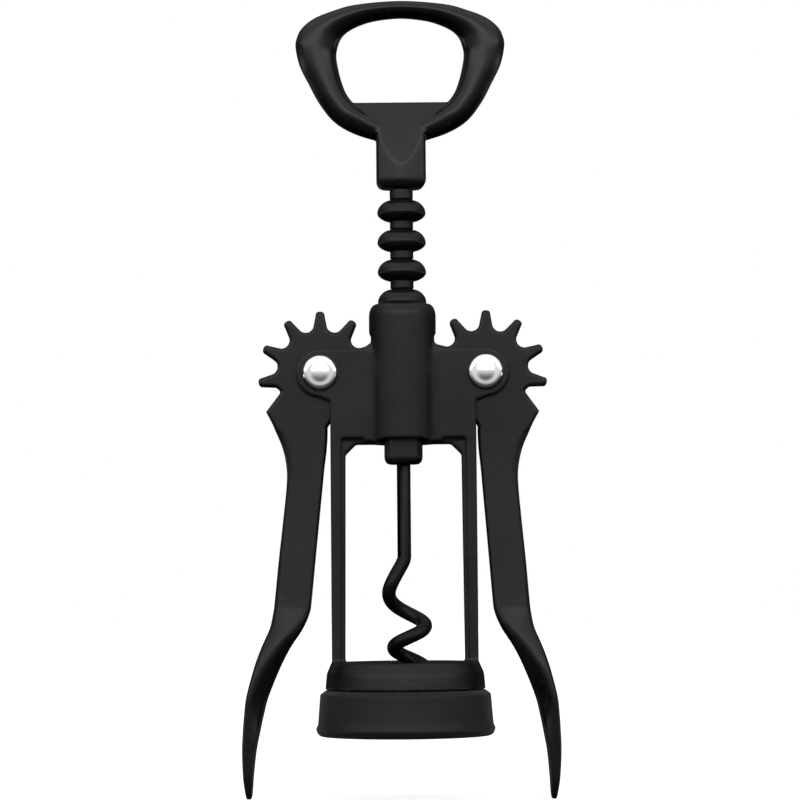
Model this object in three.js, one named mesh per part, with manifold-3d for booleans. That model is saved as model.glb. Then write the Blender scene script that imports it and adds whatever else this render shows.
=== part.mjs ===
// Wing corkscrew with a bottle opener handle, closed, in millimetres.
// Z runs up the spindle axis, X to the right lever, and the front faces -Y.
// The lever tips stand at Z = 0.
import * as THREE from 'three';
import { mergeVertices } from 'three/addons/utils/BufferGeometryUtils.js';
import Module from 'manifold-3d';

const wasm = await Module();
wasm.setup();

// Running clearances
const fitGap = 0.3;
const leverGap = 0.7;
const cutOver = 1;

// Ringed rack and the gears that it drives
const ringPitch = 6.36;
const ringRadius = 5.16;
const ringTopReach = 2.7;
const ringUnderReach = 1.8;
const ringCrownDrop = 0.1;
const ringFullness = 0.62;
const rackCoreRadius = 2.48;
const ringsAboveMesh = 6;
const ringsBelowMesh = 2;
const teethPerTurn = 11;
const toothCount = 7;
const toothAddendum = 1.95;
const toothDedendum = 1.95;
const toothRootHalf = 1.5;
const toothTipHalf = 0.66;
const toothTipRound = 0.55;
const toothEngagement = 0.74;
const gearHalfThickness = 1.6;
const gearEdgeBevel = 0.3;
const gearRootEnd = THREE.MathUtils.degToRad(248);
const closedToothTurn = THREE.MathUtils.degToRad(7.6);
const rackLift = 0.8;
const leverLean = THREE.MathUtils.degToRad(0.65);

const toothTurn = 2 * Math.PI / teethPerTurn;
const pitchRadius = teethPerTurn * ringPitch / (2 * Math.PI);
const gearTipRadius = pitchRadius + toothAddendum;
const gearRootRadius = pitchRadius - toothDedendum;
const pivotX = ringRadius - toothEngagement + gearTipRadius;

// Frame: bell ring, cage bars, twin-plate head and guide tube
const frameHalfWidth = 15.45;
const frameHalfDepth = 3.2;
const frameEdgeBevel = 0.45;
const barTopWidth = 3.15;
const barFootWidth = 2.8;
const flangeWidth = 0.9;
const flangeDrop = 1.2;
const flangeHalfDepth = 2.7;
const cageCornerCut = 2.2;
const cageHeight = 46;
const pivotRise = 15.1;
const earRadius = 5.1;
const earShoulderDrop = 6;
const headWebRise = 1.3;
const headWebRun = 1.9;
const tubeRadius = 7.12;
const tubeLength = 29.8;
const tubeShoulderHeight = 2.6;
const tubeBlendRadius = 2.5;
const tubeNotchHalfWidth = 5.8;
const tubeNotchRise = 1;
const tubeNotchPower = 3.5;
const bellHeight = 6.6;
const bellFlare = 1.4;
const bellEdgeRadius = 0.9;
const bellLedge = 0.15;
const spigotLength = 4;

// Moulded collar that takes the bottle's lip
const collarBase = 13.2;
const collarHeight = 8.9;
const collarStep = 1.2;
const collarWall = 2.55;
const collarTaper = 0.4;
const collarTopRadius = 0.9;
const collarLipReach = 0.45;
const collarLipHeight = 3.4;
const collarRimWidth = 1.3;
const collarMouthCut = 0.9;

// Rivets
const rivetRadius = 1.9;
const rivetHeadRadius = 3.8;
const rivetHeadHeight = 1.7;
const rivetHeadRim = 0.3;
const rivetTailRadius = 2.9;
const rivetTailHeight = 0.9;

// Handle: opener loop, web and neck
const neckHalfWidth = 5.33;
const neckHalfDepth = 4.6;
const neckHeight = 10.4;
const neckRise = 4.65;
const neckFoot = 2.6;
const neckOvalPower = 3;
const loopHalfWidth = 22.4;
const loopHeight = 30.5;
const loopHalfDepth = 4.1;
const loopOvalPower = 2.3;
const openerBarRise = 8.45;
const loopEndDepthShare = 0.74;
const loopEndRunShare = 0.2;
const webHalfDepth = 2.3;
const tongueDrop = 13.5;
const shankSocketDepth = 9.8;

// Worm and its ferrule
const wireRadius = 1.46;
const straightBelowFerrule = 19.7;
const helixPitch = 9.2;
const helixRadius = 3.35;
const helixShift = 0.95;
const helixLeadIn = 7.6;
const helixTurnStart = 4.1;
const helixTurnRun = 10.35;
const helixLength = 32;
const helixLeadPower = 0.8;
const helixStepsPerTurn = 16;
const wormPointLength = 9;
const wormPointRadius = 0.18;
const ferruleHalfWidth = 4.05;
const ferruleCornerCut = 1.2;
const ferruleHeight = 6.95;
const ferruleFoot = 1.4;

// Levers, from the pivot down to the grip
const leverLength = 89.8;
const leverSpread = 17.4;
const gripHalfDepth = 6;
const stemEdgeRadius = 0.9;
const gripEdgeRadius = 2.2;

// Sides of the turned forms
const bellSides = 44;
const tubeSides = 36;
const slotSides = 40;
const notchSides = 32;
const rackSides = 24;
const boreSides = 18;
const rivetSides = 24;
const wireSides = 10;
const loopSides = 16;
const stemStepsPerRow = 1.3;
const neckSides = 32;

// Heights, from the lever tips up
const bellStep = collarBase + collarHeight;
const bellTop = bellStep + bellHeight;
const headBottom = bellTop + cageHeight;
const pivotZ = headBottom + pivotRise;
const tubeTop = headBottom + tubeLength;
const earTop = pivotZ + earRadius;
const meshGapZ = pivotZ - closedToothTurn * pitchRadius + rackLift;
const topRingZ = meshGapZ + (ringsAboveMesh - 0.5) * ringPitch;
const bottomRingZ = meshGapZ - (ringsBelowMesh - 0.5) * ringPitch;
const neckBottom = topRingZ + neckRise;
const loopBottom = neckBottom + neckHeight;
const openerBarZ = loopBottom + openerBarRise;
const rackBottom = bottomRingZ - ringCrownDrop - ringUnderReach;
const ferruleTop = rackBottom - fitGap;
const ferruleBottom = ferruleTop - ferruleHeight;

// Radii that follow from their neighbours
const bellRadius = frameHalfWidth + bellFlare;
const throatRadius = frameHalfWidth - barTopWidth - bellLedge;
const collarRadius = bellRadius + collarStep;
const collarBore = collarRadius - collarWall;
const tubeBore = ringRadius + fitGap;
const slotHalfThickness = gearHalfThickness + fitGap;
const shankBore = wireRadius + fitGap;
const rivetBore = rivetRadius + fitGap;

// A closed triangle mesh as a solid for joining and cutting
function solidOf(geometry) {
  const bare = geometry.clone();
  bare.deleteAttribute('normal');
  bare.deleteAttribute('uv');
  const merged = mergeVertices(bare);
  return new wasm.Manifold(new wasm.Mesh({
    numProp: 3,
    vertProperties: new Float32Array(merged.attributes.position.array),
    triVerts: new Uint32Array(merged.index.array),
  }));
}

// A joined or cut solid as a mesh geometry again
function geometryOf(solid) {
  const mesh = solid.getMesh();
  const geometry = new THREE.BufferGeometry();
  geometry.setAttribute('position', new THREE.BufferAttribute(new Float32Array(mesh.vertProperties), 3));
  geometry.setIndex(new THREE.BufferAttribute(new Uint32Array(mesh.triVerts), 1));
  geometry.computeVertexNormals();
  return geometry;
}

// A front-view outline (x, z) as a plate of the given half depth along Y, edges bevelled
function plate(outline, halfDepth, bevel, curveSegments) {
  const geometry = new THREE.ExtrudeGeometry(outline, {
    depth: 2 * (halfDepth - bevel),
    curveSegments,
    bevelEnabled: bevel > 0,
    bevelSize: bevel,
    bevelThickness: bevel,
    bevelOffset: -bevel,
    bevelSegments: 1,
  });
  geometry.translate(0, 0, bevel - halfDepth);
  geometry.rotateX(Math.PI / 2);
  return solidOf(geometry);
}

// A half profile (radius, z) turned about the Z axis
function turned(profile, segments) {
  const geometry = new THREE.LatheGeometry(profile, segments);
  geometry.rotateX(Math.PI / 2);
  return solidOf(outward(geometry));
}

// A round bar along Z
function roundBar(radius, bottom, top, segments) {
  const geometry = new THREE.CylinderGeometry(radius, radius, top - bottom, segments);
  geometry.rotateX(Math.PI / 2);
  geometry.translate(0, 0, (top + bottom) / 2);
  return solidOf(geometry);
}

// A round bar along Y through a pivot
function crossBar(radius, x, z, halfLength, segments) {
  const geometry = new THREE.CylinderGeometry(radius, radius, 2 * halfLength, segments);
  geometry.translate(x, 0, z);
  return solidOf(geometry);
}

// Faces turned round if their winding points inward
function outward(geometry) {
  const flat = geometry.index ? geometry : mergeVertices(geometry);
  const place = flat.attributes.position;
  const index = flat.index.array;
  const corner = [new THREE.Vector3(), new THREE.Vector3(), new THREE.Vector3()];
  let sixVolumes = 0;
  for (let i = 0; i < index.length; i += 3) {
    corner.forEach((point, k) => point.fromBufferAttribute(place, index[i + k]));
    sixVolumes += corner[0].dot(corner[1].clone().cross(corner[2]));
  }
  if (sixVolumes < 0) {
    for (let i = 0; i < index.length; i += 3) {
      [index[i], index[i + 1]] = [index[i + 1], index[i]];
    }
  }
  return flat;
}

// A skin over a run of closed sections with equal point counts, both ends closed
function loft(sections) {
  const count = sections[0].length;
  const points = sections.flat();
  const faces = [];
  for (let s = 0; s < sections.length - 1; s += 1) {
    for (let i = 0; i < count; i += 1) {
      const a = s * count + i;
      const b = s * count + (i + 1) % count;
      faces.push(a, b, b + count, a, b + count, a + count);
    }
  }
  for (const end of [0, sections.length - 1]) {
    const middle = new THREE.Vector3();
    sections[end].forEach((point) => middle.add(point));
    points.push(middle.divideScalar(count));
    for (let i = 0; i < count; i += 1) {
      const a = end * count + i;
      const b = end * count + (i + 1) % count;
      faces.push(points.length - 1, end === 0 ? b : a, end === 0 ? a : b);
    }
  }
  const geometry = new THREE.BufferGeometry().setFromPoints(points);
  geometry.setIndex(faces);
  return solidOf(outward(geometry));
}

// A smooth curve through the points, of the same tension all along
function smoothCurve(points) {
  return new THREE.CatmullRomCurve3(points, false, 'catmullrom', 0.5);
}

// Points round a rounded oval; a higher power squares it up
function ovalPoints(halfWidth, halfDepth, power, count) {
  return Array.from({ length: count }, (_, i) => {
    const turn = 2 * Math.PI * i / count;
    const c = Math.cos(turn);
    const s = Math.sin(turn);
    return new THREE.Vector2(
      halfWidth * Math.sign(c) * Math.abs(c) ** (2 / power),
      halfDepth * Math.sign(s) * Math.abs(s) ** (2 / power),
    );
  });
}

// A point at a radius and an angle
function polar(radius, angle) {
  return new THREE.Vector2(radius * Math.cos(angle), radius * Math.sin(angle));
}

// Quarter-round points from one side of a corner to the other
function cornerPoints(centreX, centreZ, reachX, reachZ, fromAngle, toAngle, steps) {
  return Array.from({ length: steps + 1 }, (_, i) => {
    const angle = THREE.MathUtils.lerp(fromAngle, toAngle, i / steps);
    return new THREE.Vector2(centreX + reachX * Math.cos(angle), centreZ + reachZ * Math.sin(angle));
  });
}

const coatBlack = () => new THREE.MeshStandardMaterial({ color: 0x1b1b1d, roughness: 0.55, metalness: 0.25 });
const wormBlack = () => new THREE.MeshStandardMaterial({ color: 0x18181a, roughness: 0.4, metalness: 0.35 });
const mouldedBlack = () => new THREE.MeshStandardMaterial({ color: 0x202022, roughness: 0.65, metalness: 0 });
const brightSteel = () => new THREE.MeshStandardMaterial({ color: 0xd4d4d6, roughness: 0.16, metalness: 1 });

// Front outline of the frame from the bell up: bars, head and the two ears
function frameOutline() {
  const outline = new THREE.Shape();
  const barFoot = bellTop - bellHeight / 2;
  const shoulderZ = pivotZ - earShoulderDrop;
  const shoulderTurn = Math.atan2(-earRadius, frameHalfWidth - pivotX + earRadius / 2);
  const tubeSide = tubeRadius - frameEdgeBevel;
  outline.moveTo(-frameHalfWidth, barFoot);
  outline.lineTo(frameHalfWidth, barFoot);
  outline.lineTo(frameHalfWidth, shoulderZ);
  outline.absarc(pivotX, pivotZ, earRadius, shoulderTurn, Math.PI / 2, false);
  outline.lineTo(tubeSide + headWebRun, earTop);
  outline.lineTo(tubeSide, earTop + headWebRise);
  outline.lineTo(-tubeSide, earTop + headWebRise);
  outline.lineTo(-tubeSide - headWebRun, earTop);
  outline.absarc(-pivotX, pivotZ, earRadius, Math.PI / 2, Math.PI - shoulderTurn, false);
  outline.lineTo(-frameHalfWidth, shoulderZ);
  outline.closePath();
  return outline;
}

// Cage window, a little wider at its foot, with its top corners cut
function cageWindow(inset, drop, cornerCut) {
  const topHalf = frameHalfWidth - barTopWidth + inset;
  const footHalf = frameHalfWidth - barFootWidth + inset;
  const foot = bellTop - bellEdgeRadius;
  const top = headBottom + drop;
  const cutHalf = topHalf + (footHalf - topHalf) * cornerCut / (top - foot);
  const cage = new THREE.Shape();
  cage.moveTo(-footHalf, foot);
  cage.lineTo(-cutHalf, top - cornerCut);
  cage.lineTo(cornerCut - topHalf, top);
  cage.lineTo(topHalf - cornerCut, top);
  cage.lineTo(cutHalf, top - cornerCut);
  cage.lineTo(footHalf, foot);
  cage.closePath();
  return cage;
}

// Bars and head: a rib at the front and back, and a thinner flange between them that reaches into the window
function framePlate() {
  const edgeCut = frameHalfDepth - flangeHalfDepth + cutOver;
  let solid = plate(frameOutline(), frameHalfDepth, frameEdgeBevel, 12)
    .subtract(plate(cageWindow(0, 0, cageCornerCut), frameHalfDepth + cutOver, 0, 1));
  const recess = plate(cageWindow(flangeWidth, flangeDrop, flangeWidth / 2), edgeCut / 2, 0, 1);
  for (const side of [-1, 1]) {
    solid = solid.subtract(recess.translate([0, side * (flangeHalfDepth + edgeCut / 2), 0]));
  }
  return solid;
}

// Guide tube with its rounded shoulder, solid until it is bored
function guideTube() {
  const shoulder = cornerPoints(
    tubeBore + fitGap / 2, tubeTop - tubeShoulderHeight,
    tubeRadius - tubeBore - fitGap / 2, tubeShoulderHeight, 0, Math.PI / 2, 5,
  );
  return turned([
    new THREE.Vector2(0, headBottom),
    new THREE.Vector2(tubeRadius, headBottom),
    ...shoulder,
    new THREE.Vector2(0, tubeTop),
  ], tubeSides);
}

// Arched notch in the front of the tube's foot
function tubeNotch() {
  const arch = new THREE.Shape(ovalPoints(tubeNotchHalfWidth, tubeNotchRise, tubeNotchPower, notchSides));
  return plate(arch, tubeRadius / 2, 0, 1).translate([0, -tubeRadius / 2 - fitGap, headBottom]);
}

// Concave blend between the tube and the head's faces, seen in plan and drawn up the head
function tubeBlend() {
  const centreY = frameHalfDepth + tubeBlendRadius;
  const centreX = Math.sqrt((tubeRadius + tubeBlendRadius) ** 2 - centreY ** 2);
  const touchTurn = Math.atan2(centreY, centreX);
  const plan = new THREE.Shape();
  plan.absarc(centreX, centreY, tubeBlendRadius, -Math.PI / 2, touchTurn - Math.PI, true);
  plan.absarc(-centreX, centreY, tubeBlendRadius, -touchTurn, -Math.PI / 2, true);
  plan.absarc(-centreX, -centreY, tubeBlendRadius, Math.PI / 2, touchTurn, true);
  plan.absarc(centreX, -centreY, tubeBlendRadius, Math.PI - touchTurn, Math.PI / 2, true);
  plan.closePath();
  const geometry = new THREE.ExtrudeGeometry(plan, {
    depth: earTop - frameEdgeBevel - headBottom - frameEdgeBevel,
    bevelEnabled: false,
    curveSegments: 8,
  });
  geometry.translate(0, 0, headBottom + frameEdgeBevel);
  return solidOf(geometry);
}

// Bell ring with the spigot that carries the collar; its lower face is the bottle's seat
function bellRing() {
  const topRadius = bellRadius - bellFlare + fitGap / 2;
  const spigotRadius = collarBore - fitGap;
  const shoulder = cornerPoints(
    topRadius - bellEdgeRadius, bellTop - bellEdgeRadius,
    bellEdgeRadius, bellEdgeRadius, Math.PI / 2, 0, 3,
  );
  const skirt = cornerPoints(
    bellRadius - bellEdgeRadius, bellStep + bellEdgeRadius,
    bellEdgeRadius, bellEdgeRadius, 0, -Math.PI / 2, 3,
  );
  const throatTop = new THREE.Vector2(throatRadius, bellTop);
  return turned([
    throatTop,
    ...shoulder,
    new THREE.Vector2(bellRadius - bellEdgeRadius / 4, bellTop - bellHeight / 2),
    ...skirt,
    new THREE.Vector2(spigotRadius, bellStep),
    new THREE.Vector2(spigotRadius, bellStep - spigotLength),
    new THREE.Vector2(throatRadius, bellStep - spigotLength),
    throatTop.clone(),
  ], bellSides);
}

function frameSolid() {
  let solid = framePlate()
    .add(guideTube())
    .add(tubeBlend())
    .subtract(tubeNotch())
    .add(bellRing());
  for (const side of [-1, 1]) {
    const slotRadius = gearTipRadius + fitGap;
    solid = solid
      .subtract(crossBar(slotRadius, side * pivotX, pivotZ, slotHalfThickness, slotSides))
      .subtract(crossBar(rivetBore, side * pivotX, pivotZ, frameHalfDepth + cutOver, boreSides));
  }
  return solid
    .subtract(roundBar(tubeBore, headBottom - cutOver, tubeTop + cutOver, tubeSides))
    .subtract(roundBar(throatRadius, bellStep - spigotLength - cutOver, bellTop + cutOver, bellSides));
}

function collarSolid() {
  const top = bellStep - fitGap;
  const waist = collarRadius + collarTaper;
  const lipZ = collarBase + collarLipHeight / 2;
  const edge = cornerPoints(
    collarRadius - collarTopRadius, top - collarTopRadius,
    collarTopRadius, collarTopRadius, Math.PI / 2, 0, 3,
  );
  const lip = cornerPoints(
    waist + collarLipReach - collarRimWidth, lipZ,
    collarRimWidth, lipZ - collarBase, 0, -Math.PI / 2, 4,
  );
  const innerTop = new THREE.Vector2(collarBore, top);
  return turned([
    innerTop,
    ...edge,
    new THREE.Vector2(waist, collarBase + collarLipHeight),
    ...lip,
    new THREE.Vector2(collarBore + collarMouthCut, collarBase),
    new THREE.Vector2(collarBore, collarBase + collarMouthCut),
    innerTop.clone(),
  ], bellSides);
}

// Sleeve with one rounded ring per pitch, fuller below its crown, bored for the spindle wire
function rackSolid() {
  const stepsPerSide = 3;
  const profile = [new THREE.Vector2(0, rackBottom)];
  for (let k = ringsAboveMesh + ringsBelowMesh - 1; k >= 0; k -= 1) {
    const crown = topRingZ - k * ringPitch - ringCrownDrop;
    for (let i = -stepsPerSide; i <= stepsPerSide; i += 1) {
      const share = i / stepsPerSide;
      const swell = Math.max(0, Math.cos(share * Math.PI / 2)) ** ringFullness;
      const radius = rackCoreRadius + (ringRadius - rackCoreRadius) * swell;
      profile.push(new THREE.Vector2(radius, crown + share * (i < 0 ? ringUnderReach : ringTopReach)));
    }
  }
  const top = neckBottom - fitGap;
  profile.push(new THREE.Vector2(rackCoreRadius, top), new THREE.Vector2(0, top));
  return turned(profile, rackSides)
    .subtract(roundBar(shankBore, rackBottom - cutOver, top + cutOver, boreSides));
}

// Opener loop: outer and inner edge of the right half, as shares of the loop's half width and height,
// from inside the neck round to the crown
const loopEdgeShares = [
  [0.179, 0.006, 0.116, 0.136],
  [0.440, 0.068, 0.286, 0.199],
  [0.638, 0.156, 0.420, 0.264],
  [0.778, 0.287, 0.496, 0.327],
  [0.873, 0.418, 0.540, 0.392],
  [0.960, 0.550, 0.580, 0.491],
  [0.999, 0.681, 0.607, 0.602],
  [0.987, 0.747, 0.600, 0.668],
  [0.942, 0.812, 0.563, 0.743],
  [0.833, 0.878, 0.487, 0.799],
  [0.665, 0.929, 0.362, 0.844],
  [0.429, 0.976, 0.219, 0.873],
  [0, 1, 0, 0.889],
];

function openerLoop() {
  const mirrored = loopEdgeShares.slice(0, -1).reverse().map(([ox, oz, ix, iz]) => [-ox, oz, -ix, iz]);
  const all = [...loopEdgeShares, ...mirrored];
  const at = (xShare, zShare) => (
    new THREE.Vector3(xShare * loopHalfWidth, 0, loopBottom + zShare * loopHeight)
  );
  const outer = smoothCurve(all.map(([ox, oz]) => at(ox, oz)));
  const inner = smoothCurve(all.map(([, , ix, iz]) => at(ix, iz)));
  const steps = 2 * (all.length - 1);
  const sections = [];
  for (let s = 0; s <= steps; s += 1) {
    const out = outer.getPoint(s / steps);
    const into = inner.getPoint(s / steps);
    const middle = out.clone().add(into).divideScalar(2);
    const across = out.clone().sub(into).normalize();
    const fromNeck = Math.min(s, steps - s) / steps;
    const depthShare = THREE.MathUtils.lerp(
      loopEndDepthShare, 1, THREE.MathUtils.smoothstep(fromNeck, 0, loopEndRunShare),
    );
    const oval = ovalPoints(out.distanceTo(into) / 2, depthShare * loopHalfDepth, loopOvalPower, loopSides);
    sections.push(oval.map(({ x, y }) => middle.clone().addScaledVector(across, x).setY(y)));
  }
  return loft(sections);
}

// Neck block, rounded in to the spindle at its foot
function neckBlock() {
  const footSteps = 4;
  const rows = [];
  for (let i = 0; i <= footSteps; i += 1) {
    const turn = Math.PI / 2 * i / footSteps;
    rows.push([neckFoot * (1 - Math.sin(turn)), neckBottom + neckFoot * (1 - Math.cos(turn))]);
  }
  rows.push([0, openerBarZ - openerBarRise / 3]);
  return loft(rows.map(([inset, z]) => (
    ovalPoints(neckHalfWidth - inset, neckHalfDepth - inset, neckOvalPower, neckSides)
      .map(({ x, y }) => new THREE.Vector3(x, y, z))
  )));
}

// Flat web between the arms, up to the opener's straight bar
function openerWeb() {
  const shape = new THREE.Shape();
  const barHalf = loopHalfWidth / 2;
  shape.moveTo(-barHalf, openerBarZ);
  shape.lineTo(-neckHalfWidth, loopBottom);
  shape.lineTo(neckHalfWidth, loopBottom);
  shape.lineTo(barHalf, openerBarZ);
  shape.closePath();
  return plate(shape, neckHalfDepth, 0, 1);
}

// Side view of the web and neck: both faces slope out from the bar to the neck's full depth
function tongueWedge() {
  const tongueZ = openerBarZ - tongueDrop;
  const full = neckHalfDepth + fitGap;
  const slope = (neckHalfDepth - webHalfDepth) / tongueDrop;
  const side = new THREE.Shape();
  side.moveTo(-full, neckBottom - cutOver);
  side.lineTo(full, neckBottom - cutOver);
  side.lineTo(full, tongueZ - fitGap / slope);
  side.lineTo(webHalfDepth - cutOver * slope, openerBarZ + cutOver);
  side.lineTo(cutOver * slope - webHalfDepth, openerBarZ + cutOver);
  side.lineTo(-full, tongueZ - fitGap / slope);
  side.closePath();
  const geometry = new THREE.ExtrudeGeometry(side, { depth: 2 * loopHalfWidth, bevelEnabled: false });
  geometry.translate(0, 0, -loopHalfWidth);
  geometry.rotateX(Math.PI / 2);
  geometry.rotateZ(Math.PI / 2);
  return solidOf(geometry);
}

function handleSolid() {
  return neckBlock()
    .add(openerWeb())
    .intersect(tongueWedge())
    .add(openerLoop())
    .subtract(roundBar(shankBore, neckBottom - cutOver, neckBottom + shankSocketDepth, boreSides));
}

// Turn of the helix after a drop from its start: the pitch closes up over the run, then stays
function helixTurn(drop) {
  const run = THREE.MathUtils.clamp(drop - helixTurnStart, 0, helixTurnRun);
  const past = Math.max(0, drop - helixTurnStart - helixTurnRun);
  return 2 * Math.PI / helixPitch * (run * run / (2 * helixTurnRun) + past);
}

// Centre line of the spindle wire: straight, then eased out into the right-handed helix
function wormPoint(drop) {
  const lead = Math.min(drop / helixLeadIn, 1);
  const ease = THREE.MathUtils.smoothstep(lead ** helixLeadPower, 0, 1);
  const shift = helixShift * THREE.MathUtils.smoothstep(drop, helixLeadIn, helixTurnStart + helixTurnRun);
  const angle = Math.PI + helixTurn(helixLeadIn) - helixTurn(drop);
  return new THREE.Vector3(
    shift + ease * helixRadius * Math.cos(angle),
    ease * helixRadius * Math.sin(angle),
    ferruleBottom - straightBelowFerrule - drop,
  );
}

function wormSolid() {
  const stepLength = helixPitch / helixStepsPerTurn;
  const steps = Math.round(helixLength / stepLength);
  const shankTop = new THREE.Vector3(0, 0, neckBottom + shankSocketDepth - fitGap);
  const rows = [{ place: shankTop, radius: wireRadius }];
  for (let i = 0; i <= steps; i += 1) {
    const drop = i * stepLength;
    const left = THREE.MathUtils.clamp((steps * stepLength - drop) / wormPointLength, 0, 1);
    const radius = THREE.MathUtils.lerp(wormPointRadius, wireRadius, Math.sqrt(left));
    rows.push({ place: wormPoint(drop), radius });
  }
  const sections = rows.map(({ place, radius }, i) => {
    const before = rows[Math.max(0, i - 1)].place;
    const after = rows[Math.min(rows.length - 1, i + 1)].place;
    const along = i < 2 ? new THREE.Vector3(0, 0, -1) : after.clone().sub(before).normalize();
    const across = new THREE.Vector3(0, 1, 0).cross(along).normalize();
    const over = along.clone().cross(across);
    return ovalPoints(radius, radius, 2, wireSides)
      .map(({ x, y }) => place.clone().addScaledVector(across, x).addScaledVector(over, y));
  });
  return loft(sections);
}

// Square ferrule with cut corners and a rounded foot, crimped on the wire
function ferruleSolid() {
  const squareRing = (inset, z) => {
    const half = ferruleHalfWidth - inset;
    const flat = ferruleHalfWidth - ferruleCornerCut - inset / 2;
    return [[half, -flat], [half, flat], [flat, half], [-flat, half], [-half, flat], [-half, -flat],
      [-flat, -half], [flat, -half]].map(([x, y]) => new THREE.Vector3(x, y, z));
  };
  const rows = [[0, ferruleTop]];
  const footSteps = 3;
  for (let i = 0; i <= footSteps; i += 1) {
    const turn = Math.PI / 2 * i / footSteps;
    rows.push([ferruleFoot * (1 - Math.cos(turn)), ferruleBottom + ferruleFoot * (1 - Math.sin(turn))]);
  }
  return loft(rows.map(([inset, z]) => squareRing(inset, z)))
    .subtract(roundBar(shankBore, ferruleBottom - cutOver, ferruleTop + cutOver, boreSides));
}

// Right lever's stem about its pivot: outer and inner edge as shares of the spread out from the bar's
// face, half depth at each edge as shares of the grip's, and the drop as a share of the lever's length
const stemShares = [
  { drop: 0.100, outer: 0.705, inner: 0.002, outerDepth: 0.267, innerDepth: 0.267 },
  { drop: 0.134, outer: 0.628, inner: -0.014, outerDepth: 0.28, innerDepth: 0.28 },
  { drop: 0.178, outer: 0.534, inner: -0.004, outerDepth: 0.30, innerDepth: 0.30 },
  { drop: 0.223, outer: 0.486, inner: 0.023, outerDepth: 0.32, innerDepth: 0.32 },
  { drop: 0.267, outer: 0.485, inner: 0.044, outerDepth: 0.34, innerDepth: 0.34 },
  { drop: 0.356, outer: 0.529, inner: 0.087, outerDepth: 0.38, innerDepth: 0.38 },
  { drop: 0.445, outer: 0.577, inner: 0.129, outerDepth: 0.42, innerDepth: 0.42 },
  { drop: 0.534, outer: 0.619, inner: 0.171, outerDepth: 0.46, innerDepth: 0.45 },
  { drop: 0.564, outer: 0.637, inner: 0.194, outerDepth: 0.49, innerDepth: 0.44 },
  { drop: 0.601, outer: 0.678, inner: 0.274, outerDepth: 0.58, innerDepth: 0.40 },
  { drop: 0.646, outer: 0.776, inner: 0.424, outerDepth: 0.72, innerDepth: 0.34 },
  { drop: 0.691, outer: 0.857, inner: 0.542, outerDepth: 0.85, innerDepth: 0.30 },
  { drop: 0.757, outer: 0.946, inner: 0.680, outerDepth: 0.97, innerDepth: 0.32 },
  { drop: 0.800, outer: 0.974, inner: 0.742, outerDepth: 1.00, innerDepth: 0.52 },
  { drop: 0.845, outer: 0.991, inner: 0.794, outerDepth: 1.00, innerDepth: 0.80 },
  { drop: 0.891, outer: 1.000, inner: 0.839, outerDepth: 0.99, innerDepth: 0.86 },
  { drop: 0.950, outer: 0.986, inner: 0.868, outerDepth: 0.86, innerDepth: 0.76 },
  { drop: 0.985, outer: 0.962, inner: 0.877, outerDepth: 0.58, innerDepth: 0.50 },
  { drop: 1.000, outer: 0.948, inner: 0.886, outerDepth: 0.26, innerDepth: 0.22 },
];

// Drop over which the rounding of the edges grows from the stem's to the grip's
const edgeGrowthShares = [0.18, 0.56];

const stemBase = frameHalfWidth + leverGap - pivotX;

function stemX(share) {
  return stemBase + share * leverSpread;
}

// A four-cornered section whose corners are rounded off
function softSection(corners, radius, z) {
  const steps = 2;
  const mostCutShare = 0.42;
  return corners.flatMap((corner, i) => {
    const before = corners[(i + corners.length - 1) % corners.length];
    const after = corners[(i + 1) % corners.length];
    const cut = (other) => Math.min(radius, mostCutShare * corner.distanceTo(other));
    const from = corner.clone().lerp(before, cut(before) / corner.distanceTo(before));
    const to = corner.clone().lerp(after, cut(after) / corner.distanceTo(after));
    const bend = new THREE.QuadraticBezierCurve(from, corner, to);
    return bend.getPoints(steps).map(({ x, y }) => new THREE.Vector3(x, y, z));
  });
}

// Stem and grip: a flat bar that turns into a broad finger grip with a ridge on its inner side
function leverStem(side) {
  const path = (edge, depth) => smoothCurve(stemShares.map((row) => (
    new THREE.Vector3(stemX(row[edge]), row[depth] * gripHalfDepth, -row.drop * leverLength)
  )));
  const outer = path('outer', 'outerDepth');
  const inner = path('inner', 'innerDepth');
  const steps = Math.round(stemStepsPerRow * (stemShares.length - 1));
  const sections = [];
  for (let s = 0; s <= steps; s += 1) {
    const out = outer.getPoint(s / steps);
    const into = inner.getPoint(s / steps);
    const corners = [[out.x, -out.y], [out.x, out.y], [into.x, into.y], [into.x, -into.y]]
      .map(([x, y]) => new THREE.Vector2(side * x, y));
    const toGrip = THREE.MathUtils.smoothstep(-out.z / leverLength, ...edgeGrowthShares);
    sections.push(softSection(corners, THREE.MathUtils.lerp(stemEdgeRadius, gripEdgeRadius, toGrip), out.z));
  }
  return loft(sections);
}

// One tooth on the outline, entered from its clockwise side
function traceTooth(shape, angle, side) {
  const rootTurn = toothRootHalf / gearRootRadius;
  const tipTurn = toothTipHalf / gearTipRadius;
  const flankFoot = gearRootRadius + toothDedendum / 3;
  const flankTop = gearTipRadius - toothTipRound;
  const at = (radius, turn) => {
    const point = polar(radius, turn);
    return new THREE.Vector2(side * point.x, point.y);
  };
  const enter = at(flankFoot, angle - rootTurn);
  const shoulder = at(flankTop, angle - tipTurn);
  const leave = at(flankFoot, angle + rootTurn);
  const far = at(flankTop, angle + tipTurn);
  const crest = at(gearTipRadius, angle);
  const before = at(gearTipRadius, angle - tipTurn);
  const after = at(gearTipRadius, angle + tipTurn);
  shape.lineTo(enter.x, enter.y);
  shape.lineTo(shoulder.x, shoulder.y);
  shape.quadraticCurveTo(before.x, before.y, crest.x, crest.y);
  shape.quadraticCurveTo(after.x, after.y, far.x, far.y);
  shape.lineTo(leave.x, leave.y);
}

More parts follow.
